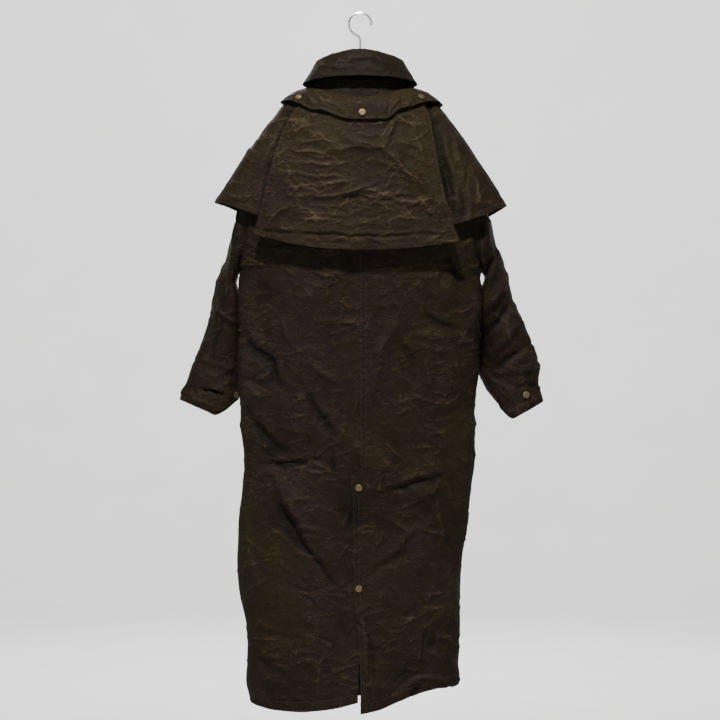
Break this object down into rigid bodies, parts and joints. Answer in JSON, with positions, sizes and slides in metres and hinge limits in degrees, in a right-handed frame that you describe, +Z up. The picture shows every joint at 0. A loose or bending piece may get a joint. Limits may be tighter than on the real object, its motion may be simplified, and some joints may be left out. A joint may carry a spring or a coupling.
{
  "type": "duster coat on a clothes hanger",
  "caption": "Full-length waxed cotton duster coat with a shoulder cape, a turned-down collar and a back vent, hung on a plain hanger by its hook.",
  "frame": {"origin": "inside top of the hanger's hook, where a rail or peg carries it", "axes": "+Z up along the hanging coat, +Y towards the coat's back, +X towards the wearer's left"},
  "size_m": [0.792, 0.2156, 1.4866],
  "materials": {
    "waxed_cotton_body": "waxed, low sheen",
    "waxed_cotton_cape": "waxed, worn",
    "waxed_cotton_collar": "waxed, brushed",
    "brass_stud": "aged",
    "hook_chrome": "polished",
    "hanger_plastic": "satin"
  },
  "bodies": {
    "root": {"back_left": "waxed_cotton_body", "back_right": "waxed_cotton_body", "front_left": "waxed_cotton_body", "front_right": "waxed_cotton_body", "sleeve_left": "waxed_cotton_body", "sleeve_right": "waxed_cotton_body", "cuff_tab_left": "waxed_cotton_body", "cuff_tab_right": "waxed_cotton_body", "cape_back": "waxed_cotton_cape", "cape_left": "waxed_cotton_cape", "cape_right": "waxed_cotton_cape", "neck_flap": "waxed_cotton_cape", "neck_band": "waxed_cotton_collar", "collar": "waxed_cotton_collar", "stud_flap_left": "brass_stud", "stud_flap_centre": "brass_stud", "stud_flap_right": "brass_stud", "stud_vent_upper": "brass_stud", "stud_vent_lower": "brass_stud", "stud_cuff_left": "brass_stud", "stud_cuff_right": "brass_stud", "stud_front_1": "brass_stud", "stud_front_2": "brass_stud", "stud_front_3": "brass_stud", "stud_front_4": "brass_stud", "hanger_bar": "hanger_plastic", "hanger_hook": "hook_chrome"}
  },
  "joints": []
}
